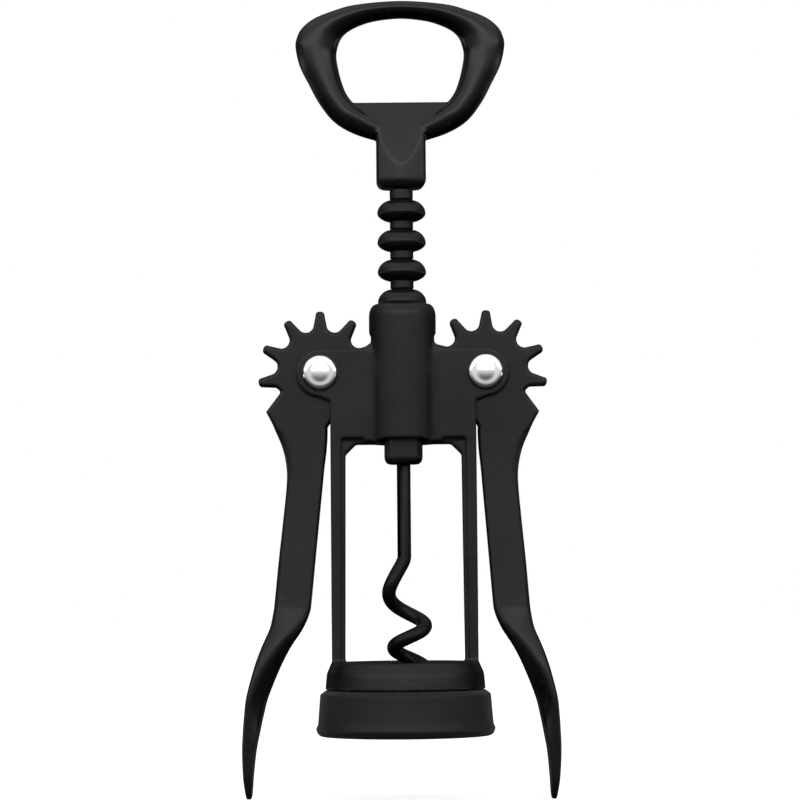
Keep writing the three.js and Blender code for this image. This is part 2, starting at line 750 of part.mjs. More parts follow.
// Rounded valley that ends where the next tooth starts
function traceValley(shape, angle, side) {
  const rootTurn = toothRootHalf / gearRootRadius;
  const flankFoot = gearRootRadius + toothDedendum / 3;
  const halfValley = toothTurn / 2 - rootTurn;
  const depthPoint = polar(2 * gearRootRadius - flankFoot * Math.cos(halfValley), angle);
  const end = polar(flankFoot, angle + halfValley);
  shape.quadraticCurveTo(side * depthPoint.x, depthPoint.y, side * end.x, end.y);
}

// Foot of the toothed plate, lapped over the stem, then its heel: spread and drop shares as for the stem
const gearFootShares = [[0.012, 0.134], [0.3, 0.178], [0.61, 0.137], [0.739, 0.091]];

// Toothed plate of the right lever about its pivot: heel, teeth from the outside round to the rack,
// and the plain root under the ear
function gearOutline(side) {
  const shape = new THREE.Shape(gearFootShares.map(([outShare, dropShare]) => (
    new THREE.Vector2(side * stemX(outShare), -dropShare * leverLength)
  )));
  const lastTooth = Math.PI + closedToothTurn;
  const firstTooth = lastTooth - (toothCount - 1) * toothTurn;
  const notch = polar(gearRootRadius, firstTooth - toothTurn / 2);
  shape.lineTo(side * notch.x, notch.y);
  for (let i = 0; i < toothCount; i += 1) {
    const angle = firstTooth + i * toothTurn;
    traceTooth(shape, angle, side);
    if (i < toothCount - 1) {
      traceValley(shape, angle + toothTurn / 2, side);
    }
  }
  const arcSteps = 5;
  for (let i = 0; i <= arcSteps; i += 1) {
    const angle = THREE.MathUtils.lerp(lastTooth + toothTurn / 2, gearRootEnd, i / arcSteps);
    const point = polar(gearRootRadius, angle);
    shape.lineTo(side * point.x, point.y);
  }
  shape.closePath();
  return shape;
}

function leverSolid(side) {
  return plate(gearOutline(side), gearHalfThickness, gearEdgeBevel, 4)
    .add(leverStem(side))
    .subtract(crossBar(rivetBore, 0, 0, gearHalfThickness + cutOver, boreSides));
}

// Domed rivet: bright head at the front, plain shank, low closed tail at the back
function rivetSolid() {
  const headSeat = -frameHalfDepth - fitGap / 2;
  const tailSeat = frameHalfDepth + fitGap / 2;
  const dome = cornerPoints(0, headSeat - rivetHeadRim, rivetHeadRadius, rivetHeadRim - rivetHeadHeight,
    Math.PI / 2, 0, 6);
  const tail = cornerPoints(0, tailSeat, rivetTailRadius, rivetTailHeight, 0, Math.PI / 2, 2);
  const profile = [
    ...dome,
    new THREE.Vector2(rivetHeadRadius, headSeat),
    new THREE.Vector2(rivetRadius, headSeat),
    new THREE.Vector2(rivetRadius, tailSeat),
    ...tail,
  ];
  profile[0].x = 0;
  profile[profile.length - 1].x = 0;
  return solidOf(outward(new THREE.LatheGeometry(profile, rivetSides)));
}

function named(name, solid, material) {
  const mesh = new THREE.Mesh(geometryOf(solid), material);
  mesh.name = name;
  return mesh;
}

const group = new THREE.Group();
group.add(named('frame', frameSolid(), coatBlack()));
group.add(named('bell_collar', collarSolid(), mouldedBlack()));
group.add(named('rack_sleeve', rackSolid(), coatBlack()));
group.add(named('handle', handleSolid(), coatBlack()));
group.add(named('worm', wormSolid(), wormBlack()));
group.add(named('worm_ferrule', ferruleSolid(), coatBlack()));
for (const [word, side] of [['left', -1], ['right', 1]]) {
  const lever = named(`${word}_lever`, leverSolid(side), coatBlack());
  lever.position.set(side * pivotX, 0, pivotZ);
  lever.rotation.y = leverLean;
  group.add(lever);
  const rivet = named(`${word}_rivet`, rivetSolid(), brightSteel());
  rivet.position.set(side * pivotX, 0, pivotZ);
  group.add(rivet);
}

export default group;
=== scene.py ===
# Matte black wing corkscrew, closed, on a pale studio floor.
import math

import bmesh
import bpy
from mathutils import Matrix, Quaternion, Vector


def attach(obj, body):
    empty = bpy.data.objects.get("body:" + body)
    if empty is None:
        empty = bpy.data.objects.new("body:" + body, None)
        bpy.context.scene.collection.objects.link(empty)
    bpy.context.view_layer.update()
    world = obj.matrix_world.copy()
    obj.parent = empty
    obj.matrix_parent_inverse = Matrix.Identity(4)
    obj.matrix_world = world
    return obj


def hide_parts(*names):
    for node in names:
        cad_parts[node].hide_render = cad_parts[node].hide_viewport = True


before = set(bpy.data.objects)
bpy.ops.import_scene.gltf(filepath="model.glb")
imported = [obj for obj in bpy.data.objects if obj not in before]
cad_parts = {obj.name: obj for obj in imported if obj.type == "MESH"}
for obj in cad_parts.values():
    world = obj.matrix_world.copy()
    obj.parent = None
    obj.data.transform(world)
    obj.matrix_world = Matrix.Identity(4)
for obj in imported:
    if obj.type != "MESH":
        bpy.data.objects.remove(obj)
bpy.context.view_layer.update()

# Sizes of the tool are in millimetres, Z up the spindle and the front to -Y
MM = 0.001

# Running clearances, and how far a cutter goes past what it cuts
FIT_GAP = 0.3
LEVER_GAP = 0.7
CUT_OVER = 1

# Ringed rack and the gears that it drives
RING_PITCH = 6.36
RING_RADIUS = 5.16
RING_TOP_REACH = 2.7
RING_UNDER_REACH = 1.8
RING_CROWN_DROP = 0.1
RING_TOP_FULLNESS = 0.5
RING_UNDER_FULLNESS = 0.58
RING_GROOVE_DEPTH = 0.25
RING_GROOVE_HEIGHT = 0.35
RACK_CORE_RADIUS = 2.48
RINGS_ABOVE_MESH = 6
RINGS_BELOW_MESH = 2
TEETH_PER_TURN = 11
TOOTH_COUNT = 7
TOOTH_ADDENDUM = 1.95
TOOTH_DEDENDUM = 1.95
TOOTH_ROOT_HALF = 1.3
TOOTH_TIP_HALF = 0.82
TOOTH_TIP_ROUND = 0.75
TOOTH_ENGAGEMENT = 0.74
GEAR_HALF_THICKNESS = 1.6
GEAR_EDGE_RADIUS = 0.55
GEAR_ROOT_END = math.radians(248)
CLOSED_TOOTH_TURN = math.radians(7.6)
RACK_LIFT = 0.8
LEVER_LEAN = math.radians(0.65)

TOOTH_TURN = 2 * math.pi / TEETH_PER_TURN
PITCH_RADIUS = TEETH_PER_TURN * RING_PITCH / (2 * math.pi)
GEAR_TIP_RADIUS = PITCH_RADIUS + TOOTH_ADDENDUM
GEAR_ROOT_RADIUS = PITCH_RADIUS - TOOTH_DEDENDUM
PIVOT_X = RING_RADIUS - TOOTH_ENGAGEMENT + GEAR_TIP_RADIUS

# Frame: bell ring, cage bars, twin-plate head and guide tube
FRAME_HALF_WIDTH = 15.45
FRAME_HALF_DEPTH = 3.2
FRAME_EDGE_BEVEL = 0.45
BAR_TOP_WIDTH = 3.15
BAR_FOOT_WIDTH = 2.8
FLANGE_WIDTH = 0.9
FLANGE_RISE = 1.2
FLANGE_HALF_DEPTH = 2.7
CAGE_CORNER_CUT = 2.2
CAGE_HEIGHT = 46
PIVOT_RISE = 15.1
EAR_RADIUS = 5.1
EAR_SHOULDER_DROP = 6
HEAD_WEB_RISE = 1.3
HEAD_WEB_RUN = 1.9
TUBE_RADIUS = 7.12
TUBE_LENGTH = 29.8
TUBE_SHOULDER_HEIGHT = 2.6
TUBE_BLEND_RADIUS = 3.5
TUBE_NOTCH_HALF_WIDTH = 5.8
TUBE_NOTCH_RISE = 1
TUBE_NOTCH_POWER = 3.5
BELL_HEIGHT = 6.6
BELL_FLARE = 1.4
BELL_EDGE_RADIUS = 0.9
BELL_LEDGE = 0.15
SPIGOT_LENGTH = 4

# Moulded collar that takes the bottle's lip
COLLAR_BASE = 13.2
COLLAR_HEIGHT = 8.9
COLLAR_STEP = 1.2
COLLAR_WALL = 2.55
COLLAR_TAPER = 0.4
COLLAR_TOP_RADIUS = 1.15
COLLAR_LIP_REACH = 0.45
COLLAR_LIP_HEIGHT = 3.4
COLLAR_RIM_WIDTH = 1.3
COLLAR_FLARE_SHARE = 0.72
COLLAR_MOUTH_CUT = 0.9

# Rivets
RIVET_RADIUS = 1.9
RIVET_HEAD_RADIUS = 3.8
RIVET_HEAD_HEIGHT = 1.7
RIVET_HEAD_RIM = 0.3
RIVET_TAIL_RADIUS = 2.9
RIVET_TAIL_HEIGHT = 0.9

# Handle: opener loop, web and neck
NECK_HALF_WIDTH = 5.33
NECK_HALF_DEPTH = 4.6
NECK_HEIGHT = 10.4
NECK_RISE = 4.65
NECK_FOOT = 1.7
NECK_FACE_FALL = 1.5
NECK_CORNER = 0.9
LOOP_HALF_WIDTH = 22.4
LOOP_HEIGHT = 30.5
LOOP_HALF_DEPTH = 4.1
LOOP_OVAL_POWER = 2.3
LOOP_END_DEPTH_SHARE = 0.8
LOOP_END_RUN_SHARE = 0.08
OPENER_BAR_RISE = 8.45
WEB_HALF_DEPTH = 2.3
TONGUE_DROP = 13.5
SHANK_SOCKET_DEPTH = 9.8

# Worm and its ferrule
WIRE_RADIUS = 1.46
STRAIGHT_BELOW_FERRULE = 19.7
HELIX_PITCH = 9.2
HELIX_RADIUS = 3.35
HELIX_SHIFT = 0.95
HELIX_LEAD_IN = 7.6
HELIX_TURN_START = 4.1
HELIX_TURN_RUN = 10.35
HELIX_LENGTH = 32
HELIX_LEAD_POWER = 0.8
WORM_POINT_LENGTH = 9
WORM_POINT_RADIUS = 0.18
FERRULE_HALF_WIDTH = 4.05
FERRULE_CORNER_CUT = 1.2
FERRULE_HEIGHT = 6.95
FERRULE_FOOT = 1.4

# Levers, from the pivot down to the grip
LEVER_LENGTH = 89.8
LEVER_SPREAD = 17.4
GRIP_HALF_DEPTH = 6
STEM_EDGE_RADIUS = 1.8
GRIP_EDGE_RADIUS = 2.2

# Where the dressed pieces leave the solids: the bell's seam lies higher and is narrower than the running
# gap, and the neck's foot lies higher
SEAM_LIFT = 0.85
SEAM_GAP = 0.16
NECK_LIFT = 0.5

# Heights, from the lever tips up
BELL_STEP = COLLAR_BASE + COLLAR_HEIGHT
BELL_TOP = BELL_STEP + BELL_HEIGHT
SPIGOT_BOTTOM = BELL_STEP - SPIGOT_LENGTH
HEAD_BOTTOM = BELL_TOP + CAGE_HEIGHT
PIVOT_Z = HEAD_BOTTOM + PIVOT_RISE
TUBE_TOP = HEAD_BOTTOM + TUBE_LENGTH
EAR_TOP = PIVOT_Z + EAR_RADIUS
MESH_GAP_Z = PIVOT_Z - CLOSED_TOOTH_TURN * PITCH_RADIUS + RACK_LIFT
TOP_RING_Z = MESH_GAP_Z + (RINGS_ABOVE_MESH - 0.5) * RING_PITCH
BOTTOM_RING_Z = MESH_GAP_Z - (RINGS_BELOW_MESH - 0.5) * RING_PITCH
NECK_BOTTOM = TOP_RING_Z + NECK_RISE
LOOP_BOTTOM = NECK_BOTTOM + NECK_HEIGHT
OPENER_BAR_Z = LOOP_BOTTOM + OPENER_BAR_RISE
RACK_BOTTOM = BOTTOM_RING_Z - RING_CROWN_DROP - RING_UNDER_REACH
FERRULE_TOP = RACK_BOTTOM - FIT_GAP
FERRULE_BOTTOM = FERRULE_TOP - FERRULE_HEIGHT

# Radii that follow from their neighbours
BELL_RADIUS = FRAME_HALF_WIDTH + BELL_FLARE
THROAT_RADIUS = FRAME_HALF_WIDTH - BAR_TOP_WIDTH - BELL_LEDGE
COLLAR_RADIUS = BELL_RADIUS + COLLAR_STEP
COLLAR_BORE = COLLAR_RADIUS - COLLAR_WALL
TUBE_BORE = RING_RADIUS + FIT_GAP
SLOT_HALF_THICKNESS = GEAR_HALF_THICKNESS + FIT_GAP
SHANK_BORE = WIRE_RADIUS + FIT_GAP
RIVET_BORE = RIVET_RADIUS + FIT_GAP

# Softened castings: voxel size and rounds of smoothing, and what these take off a tooth's tip and flank
CAST_VOXEL = 0.24
CAST_ROUNDS = 7
GEAR_VOXEL = 0.2
GEAR_ROUNDS = 6
FERRULE_VOXEL = 0.15
FERRULE_ROUNDS = 3
SOFTEN_FACTOR = 0.5
TIP_ALLOWANCE = 0.2
FLANK_ALLOWANCE = 0.18

# Steps of the round forms, in all or from one row of a table to the next
TURNED_SIDES = 128
RIVET_SIDES = 96
NOTCH_SIDES = 64
LOOP_SIDES = 56
BORE_SIDES = 48
WIRE_SIDES = 28
WIRE_STEPS_PER_TURN = 64
EAR_STEPS = 40
HEEL_STEPS = 24
NECK_FACE_STEPS = 16
RING_HALF_STEPS = 14
ARC_STEPS = 12
RIM_STEPS = 10
NECK_FOOT_STEPS = 10
FERRULE_FOOT_STEPS = 8
CORNER_STEPS = 8
BEND_STEPS = 6
SHOULDER_STEPS = 6
BEVEL_STEPS = 3
STEM_ROW_STEPS = 10
LOOP_ROW_STEPS = 8
RIVET_ROW_STEPS = 5
BELL_ROW_STEPS = 4

# Angles from which an edge is bevelled, or shaded as a sharp one
BEVEL_ANGLE = math.radians(70)
SHARP_ANGLE = math.radians(40)

# A radius below this is a point on the axis
TINY = 1e-6


def smoothstep(x, low, high):
    share = min(max((x - low) / (high - low), 0), 1)
    return share * share * (3 - 2 * share)


def mix(first, second, share):
    return first + (second - first) * share


def smooth_curve(points, share):
    """The point at a share of the way along a smooth curve through the points."""
    place = share * (len(points) - 1)
    row = min(int(place), len(points) - 2)
    t = place - row
    start = Vector(points[row])
    end = Vector(points[row + 1])
    before = Vector(points[row - 1]) if row > 0 else 2 * start - end
    after = Vector(points[row + 2]) if row + 2 < len(points) else 2 * end - start
    leave = (end - before) / 2
    arrive = (after - start) / 2
    return (start + leave * t + (3 * (end - start) - 2 * leave - arrive) * t ** 2
            + (2 * (start - end) + leave + arrive) * t ** 3)


def smooth_rows(points, row_steps):
    """The smooth curve through the points, in steps between each two of them."""
    steps = row_steps * (len(points) - 1)
    return [smooth_curve(points, i / steps) for i in range(steps + 1)]


def oval(half_width, half_depth, power, count):
    """A closed oval; power 2 gives an ellipse and more makes it squarer."""
    points = []
    for i in range(count):
        across = math.cos(2 * math.pi * i / count)
        up = math.sin(2 * math.pi * i / count)
        points.append((
            half_width * math.copysign(abs(across) ** (2 / power), across),
            half_depth * math.copysign(abs(up) ** (2 / power), up),
        ))
    return points


def arc(centre, reach, start, end, steps=ARC_STEPS):
    """Points on a round or oval arc; reach is one radius, or one each way."""
    across, up = reach if isinstance(reach, tuple) else (reach, reach)
    turns = [mix(start, end, i / steps) for i in range(steps + 1)]
    return [(centre[0] + across * math.cos(t), centre[1] + up * math.sin(t)) for t in turns]


def mirrored(half):
    """An outline made of a right half and its mirror image, back to the first point."""
    return half + [(-x, level) for x, level in reversed(half)]


def add_object(name, data):
    item = bpy.data.objects.new(name, data)
    bpy.context.scene.collection.objects.link(item)
    return item


def solid(name, points, faces):
    mesh = bpy.data.meshes.new(name)
    mesh.from_pydata([Vector(point) * MM for point in points], [], faces)
    draft = bmesh.new()
    draft.from_mesh(mesh)
    bmesh.ops.recalc_face_normals(draft, faces=draft.faces)
    draft.to_mesh(mesh)
    draft.free()
    return add_object(name, mesh)


def loft(name, sections):
    """A skin over closed sections with equal point counts, both ends closed."""
    count = len(sections[0])
    points = [point for section in sections for point in section]
    faces = [list(range(count)), list(range(len(points) - count, len(points)))]
    for row in range(len(sections) - 1):
        for i in range(count):
            first = row * count + i
            second = row * count + (i + 1) % count
            faces.append([first, second, second + count, first + count])
    return solid(name, points, faces)


def lathe(name, profile, closed=False, sides=TURNED_SIDES):
    """A half profile (radius, z) turned about the Z axis."""
    points = []
    rings = []
    for radius, z in profile:
        if radius < TINY:
            rings.append([len(points)] * sides)
            points.append((0, 0, z))
            continue
        rings.append([len(points) + i for i in range(sides)])
        turns = [2 * math.pi * i / sides for i in range(sides)]
        points += [(radius * math.cos(t), radius * math.sin(t), z) for t in turns]
    faces = []
    for low, high in zip(rings, rings[1:] + (rings[:1] if closed else [])):
        for i in range(sides):
            j = (i + 1) % sides
            face = list(dict.fromkeys([low[i], low[j], high[j], high[i]]))
            if len(face) > 2:
                faces.append(face)
    return solid(name, points, faces)


def prism(name, outline, low, high, axis="y"):
    """A plate between two levels of one axis; the outline is in the other two."""
    place = {
        "x": lambda y, z, level: (level, y, z),
        "y": lambda x, z, level: (x, level, z),
        "z": lambda x, y, level: (x, y, level),
    }[axis]
    return loft(name, [[place(*point, level) for point in outline] for level in (low, high)])


def round_bar(name, radius, low, high, centre=(0, 0), axis="z"):
    outline = arc(centre, radius, 0, 2 * math.pi, BORE_SIDES)[:-1]
    return prism(name, outline, low, high, axis)


def settle(piece):
    """Turns the piece's modifiers into its mesh."""
    graph = bpy.context.evaluated_depsgraph_get()
    mesh = bpy.data.meshes.new_from_object(piece.evaluated_get(graph))
    piece.modifiers.clear()
    piece.data = mesh


def combine(piece, tool, operation):
    step = piece.modifiers.new("combine", "BOOLEAN")
    step.operation = operation
    step.solver = "EXACT"
    step.object = tool
    settle(piece)
    bpy.data.objects.remove(tool)


def join(piece, tool):
    combine(piece, tool, "UNION")


def cut(piece, tool):
    combine(piece, tool, "DIFFERENCE")


def cast(piece, voxel, rounds):
    """Softens every edge and corner as a die casting has them."""
    skin = piece.modifiers.new("skin", "REMESH")
    skin.mode = "VOXEL"
    skin.voxel_size = voxel * MM
    soften = piece.modifiers.new("soften", "SMOOTH")
    soften.factor = SOFTEN_FACTOR
    soften.iterations = rounds
    settle(piece)


def frame_outline():
    """The bars and the head from the front, down to inside the bell."""
    shoulder_z = PIVOT_Z - EAR_SHOULDER_DROP
    shoulder_turn = math.atan2(-EAR_RADIUS, FRAME_HALF_WIDTH - PIVOT_X + EAR_RADIUS / 2)
    tube_side = TUBE_RADIUS - FRAME_EDGE_BEVEL
    half = [(FRAME_HALF_WIDTH, BELL_TOP - BELL_HEIGHT / 2), (FRAME_HALF_WIDTH, shoulder_z)]
    half += arc((PIVOT_X, PIVOT_Z), EAR_RADIUS, shoulder_turn, math.pi / 2, EAR_STEPS)
    half += [(tube_side + HEAD_WEB_RUN, EAR_TOP), (tube_side, EAR_TOP + HEAD_WEB_RISE)]
    return mirrored(half)


def cage_window(widening, rise, corner_cut):
    """The opening between the bars, made wider on each side and higher at the top."""
    top_half = FRAME_HALF_WIDTH - BAR_TOP_WIDTH + widening
    foot_half = FRAME_HALF_WIDTH - BAR_FOOT_WIDTH + widening
    foot = BELL_TOP - BELL_EDGE_RADIUS
    top = HEAD_BOTTOM + rise
    cut_half = top_half + (foot_half - top_half) * corner_cut / (top - foot)
    return mirrored([(foot_half, foot), (cut_half, top - corner_cut), (top_half - corner_cut, top)])


def guide_tube():
    shoulder_bore = TUBE_BORE + FIT_GAP / 2
    profile = [(0, HEAD_BOTTOM), (TUBE_RADIUS, HEAD_BOTTOM)]
    profile += arc((shoulder_bore, TUBE_TOP - TUBE_SHOULDER_HEIGHT),
                   (TUBE_RADIUS - shoulder_bore, TUBE_SHOULDER_HEIGHT), 0, math.pi / 2)
    profile.append((0, TUBE_TOP))
    return lathe("tube", profile)


def tube_blend():
    """The fillets that lead from the head's plates to the tube."""
    centre_y = FRAME_HALF_DEPTH + TUBE_BLEND_RADIUS
    centre_x = math.sqrt((TUBE_RADIUS + TUBE_BLEND_RADIUS) ** 2 - centre_y ** 2)
    touch = math.atan2(centre_y, centre_x)
    half = arc((centre_x, -centre_y), TUBE_BLEND_RADIUS, math.pi - touch, math.pi / 2)
    half += arc((centre_x, centre_y), TUBE_BLEND_RADIUS, -math.pi / 2, touch - math.pi)
    return prism("blend", mirrored(half), HEAD_BOTTOM + FRAME_EDGE_BEVEL, EAR_TOP - FRAME_EDGE_BEVEL, "z")


def tube_notch():
    """The low arch in front at the foot of the tube."""
    arch = oval(TUBE_NOTCH_HALF_WIDTH, TUBE_NOTCH_RISE, TUBE_NOTCH_POWER, NOTCH_SIDES)
    outline = [(x, HEAD_BOTTOM + z) for x, z in arch]
    return prism("notch", outline, -TUBE_RADIUS - CUT_OVER, -FIT_GAP)


# Bell's side from its top edge to its seam: radius as a share of the bell's, drop as a share of its height
BELL_SIDE_SHARES = [(0.915, 0), (0.934, 0.05), (0.943, 0.12), (0.953, 0.2), (0.967, 0.28), (0.979, 0.36),
                    (0.989, 0.5), (0.993, 0.65), (0.998, 0.8), (1.0, 0.9), (1.004, 1)]


def bell_ring():
    """The bell with the spigot that the collar sits on."""
    spigot = COLLAR_BORE - FIT_GAP
    height = BELL_HEIGHT - SEAM_LIFT
    rows = [(radius * BELL_RADIUS, BELL_TOP - drop * height) for radius, drop in BELL_SIDE_SHARES]
    profile = [(THROAT_RADIUS, BELL_TOP)]
    profile += [tuple(point) for point in smooth_rows(rows, BELL_ROW_STEPS)]
    profile += [(spigot, BELL_TOP - height), (spigot, SPIGOT_BOTTOM), (THROAT_RADIUS, SPIGOT_BOTTOM)]
    return lathe("bell", profile, closed=True)


def make_frame():
    piece = prism("frame_cast", frame_outline(), -FRAME_HALF_DEPTH, FRAME_HALF_DEPTH)
    reach = FRAME_HALF_DEPTH + CUT_OVER
    cut(piece, prism("window", cage_window(0, 0, CAGE_CORNER_CUT), -reach, reach))
    step = cage_window(FLANGE_WIDTH, FLANGE_RISE, FLANGE_WIDTH / 2)
    cut(piece, prism("step", step, -reach, -FLANGE_HALF_DEPTH))
    cut(piece, prism("step", step, FLANGE_HALF_DEPTH, reach))
    join(piece, guide_tube())
    join(piece, tube_blend())
    cut(piece, tube_notch())
    join(piece, bell_ring())
    for side in (-1, 1):
        centre = (side * PIVOT_X, PIVOT_Z)
        cut(piece, round_bar("slot", GEAR_TIP_RADIUS + FIT_GAP, -SLOT_HALF_THICKNESS,
                             SLOT_HALF_THICKNESS, centre, "y"))
        cut(piece, round_bar("hole", RIVET_BORE, -reach, reach, centre, "y"))
    cut(piece, round_bar("bore", TUBE_BORE, HEAD_BOTTOM - CUT_OVER, TUBE_TOP + CUT_OVER))
    cut(piece, round_bar("throat", THROAT_RADIUS, SPIGOT_BOTTOM - CUT_OVER, BELL_TOP + CUT_OVER))
    cast(piece, CAST_VOXEL, CAST_ROUNDS)
    return piece


def make_collar():
    top = BELL_STEP + SEAM_LIFT - SEAM_GAP
    waist = COLLAR_RADIUS + COLLAR_TAPER
    lip_z = COLLAR_BASE + COLLAR_LIP_HEIGHT / 2
    edge = COLLAR_TOP_RADIUS
    profile = [(COLLAR_BORE, top), (COLLAR_RADIUS - edge, top)]
    profile += arc((COLLAR_RADIUS - edge / 2, top - edge), edge / 2, math.pi / 4, 0, SHOULDER_STEPS)
    profile.append((waist, COLLAR_BASE + COLLAR_LIP_HEIGHT))
    profile.append((waist + COLLAR_LIP_REACH / 5, COLLAR_BASE + COLLAR_LIP_HEIGHT * COLLAR_FLARE_SHARE))
    profile += arc((waist + COLLAR_LIP_REACH - COLLAR_RIM_WIDTH, lip_z),
                   (COLLAR_RIM_WIDTH, lip_z - COLLAR_BASE), 0, -math.pi / 2, RIM_STEPS)
    profile.append((COLLAR_BORE + COLLAR_MOUTH_CUT, COLLAR_BASE))
    profile.append((COLLAR_BORE, COLLAR_BASE + COLLAR_MOUTH_CUT))
    return lathe("collar_moulded", profile, closed=True)


def ring_profile(crown):
    """One ring from its foot to the fine groove above it."""
    profile = []
    for i in range(-RING_HALF_STEPS, RING_HALF_STEPS + 1):
        share = math.sin(math.pi / 2 * i / RING_HALF_STEPS)
        fullness = RING_UNDER_FULLNESS if i < 0 else RING_TOP_FULLNESS
        reach = RING_UNDER_REACH if i < 0 else RING_TOP_REACH
        swell = max(0, math.cos(share * math.pi / 2)) ** fullness
        profile.append((mix(RACK_CORE_RADIUS, RING_RADIUS, swell), crown + share * reach))
    groove = crown + RING_TOP_REACH
    profile.append((RACK_CORE_RADIUS - RING_GROOVE_DEPTH, groove + RING_GROOVE_HEIGHT / 3))
    profile.append((RACK_CORE_RADIUS, groove + RING_GROOVE_HEIGHT))
    return profile


def make_rack():
    top = NECK_BOTTOM + NECK_LIFT - FIT_GAP
    profile = [(SHANK_BORE, RACK_BOTTOM)]
    for k in range(RINGS_ABOVE_MESH + RINGS_BELOW_MESH - 1, -1, -1):
        profile += ring_profile(TOP_RING_Z - k * RING_PITCH - RING_CROWN_DROP)
    profile += [(RACK_CORE_RADIUS, top), (SHANK_BORE, top)]
    return lathe("rack_rings", profile, closed=True)


# Opener loop's right half from its foot to its top: outer edge, then inner edge, each as a share of the
# loop's half width and height
LOOP_EDGE_SHARES = [
    (0.179, 0.006, 0.116, 0.136),
    (0.440, 0.068, 0.286, 0.199),
    (0.638, 0.156, 0.420, 0.264),
    (0.778, 0.287, 0.496, 0.327),
    (0.873, 0.418, 0.540, 0.392),
    (0.960, 0.550, 0.580, 0.491),
    (0.999, 0.681, 0.607, 0.602),
    (0.987, 0.747, 0.600, 0.668),
    (0.942, 0.812, 0.563, 0.743),
    (0.833, 0.878, 0.487, 0.799),
    (0.665, 0.929, 0.362, 0.844),
    (0.429, 0.976, 0.219, 0.873),
    (0, 1, 0, 0.889),
]


def loop_edge(shares):
    """A smooth edge of the loop from its right foot over the top to its left foot."""
    half = [(x * LOOP_HALF_WIDTH, 0, LOOP_BOTTOM + z * LOOP_HEIGHT) for x, z in shares]
    return smooth_rows(half + [(-x, y, z) for x, y, z in reversed(half[:-1])], LOOP_ROW_STEPS)


def opener_loop():
    outer = loop_edge([row[:2] for row in LOOP_EDGE_SHARES])
    inner = loop_edge([row[2:] for row in LOOP_EDGE_SHARES])
    steps = len(outer) - 1
    sections = []
    for i, (out, into) in enumerate(zip(outer, inner)):
        middle = (out + into) / 2
        across = (out - into).normalized()
        end_share = smoothstep(min(i, steps - i) / steps, 0, LOOP_END_RUN_SHARE)
        depth = LOOP_HALF_DEPTH * mix(LOOP_END_DEPTH_SHARE, 1, end_share)
        sections.append([
            middle + across * x + Vector((0, y, 0))
            for x, y in oval((out - into).length / 2, depth, LOOP_OVAL_POWER, LOOP_SIDES)
        ])
    return loft("loop", sections)


def neck_section(inset, z):
    """A box with bowed faces and soft corners."""
    half_width = NECK_HALF_WIDTH - inset
    corner_x = half_width - NECK_CORNER / 2
    face = []
    for i in range(NECK_FACE_STEPS + 1):
        x = mix(-corner_x, corner_x, i / NECK_FACE_STEPS)
        face.append((x, NECK_HALF_DEPTH - inset - NECK_FACE_FALL * (x / NECK_HALF_WIDTH) ** 2))
    edge = face[-1][1] - NECK_CORNER
    half = [(x, -y) for x, y in face]
    half += [(half_width - NECK_CORNER / 8, -edge - NECK_CORNER / 2), (half_width, -edge)]
    return [(x, y, z) for x, y in half + [(-x, -y) for x, y in half]]


def neck_block():
    low = NECK_BOTTOM + NECK_LIFT
    rows = []
    for i in range(NECK_FOOT_STEPS + 1):
        turn = math.pi / 2 * i / NECK_FOOT_STEPS
        rows.append((NECK_FOOT * (1 - math.sin(turn)), low + NECK_FOOT * (1 - math.cos(turn))))
    rows.append((0, OPENER_BAR_Z - OPENER_BAR_RISE / 3))
    return loft("handle_cast", [neck_section(inset, z) for inset, z in rows])


def tongue_wedge():
    """The space that the neck and the web keep inside: it thins upwards to the web."""
    tongue_z = OPENER_BAR_Z - TONGUE_DROP
    full = NECK_HALF_DEPTH + FIT_GAP
    slope = (NECK_HALF_DEPTH - WEB_HALF_DEPTH) / TONGUE_DROP
    outline = mirrored([
        (full, NECK_BOTTOM - CUT_OVER),
        (full, tongue_z - FIT_GAP / slope),
        (WEB_HALF_DEPTH - CUT_OVER * slope, OPENER_BAR_Z + CUT_OVER),
    ])
    return prism("wedge", outline, -LOOP_HALF_WIDTH, LOOP_HALF_WIDTH, "x")


def make_handle():
    bar = LOOP_HALF_WIDTH / 2
    foot = NECK_HALF_WIDTH - NECK_CORNER
    foot_z = LOOP_BOTTOM + NECK_CORNER
    web = [(-bar, OPENER_BAR_Z), (-foot, foot_z), (foot, foot_z), (bar, OPENER_BAR_Z)]
    piece = neck_block()
    join(piece, prism("web", web, -NECK_HALF_DEPTH, NECK_HALF_DEPTH))
    combine(piece, tongue_wedge(), "INTERSECT")
    join(piece, opener_loop())
    cut(piece, round_bar("socket", SHANK_BORE, NECK_BOTTOM - CUT_OVER, NECK_BOTTOM + SHANK_SOCKET_DEPTH))
    cast(piece, CAST_VOXEL, CAST_ROUNDS)
    return piece


def helix_turn(drop):
    run = min(max(drop - HELIX_TURN_START, 0), HELIX_TURN_RUN)
    past = max(0, drop - HELIX_TURN_START - HELIX_TURN_RUN)
    return 2 * math.pi / HELIX_PITCH * (run * run / (2 * HELIX_TURN_RUN) + past)


def worm_point(drop):
    """The middle of the wire at a drop below its straight length."""
    ease = smoothstep(min(drop / HELIX_LEAD_IN, 1) ** HELIX_LEAD_POWER, 0, 1)
    shift = HELIX_SHIFT * smoothstep(drop, HELIX_LEAD_IN, HELIX_TURN_START + HELIX_TURN_RUN)
    angle = math.pi + helix_turn(HELIX_LEAD_IN) - helix_turn(drop)
    return Vector((
        shift + ease * HELIX_RADIUS * math.cos(angle),
        ease * HELIX_RADIUS * math.sin(angle),
        FERRULE_BOTTOM - STRAIGHT_BELOW_FERRULE - drop,
    ))


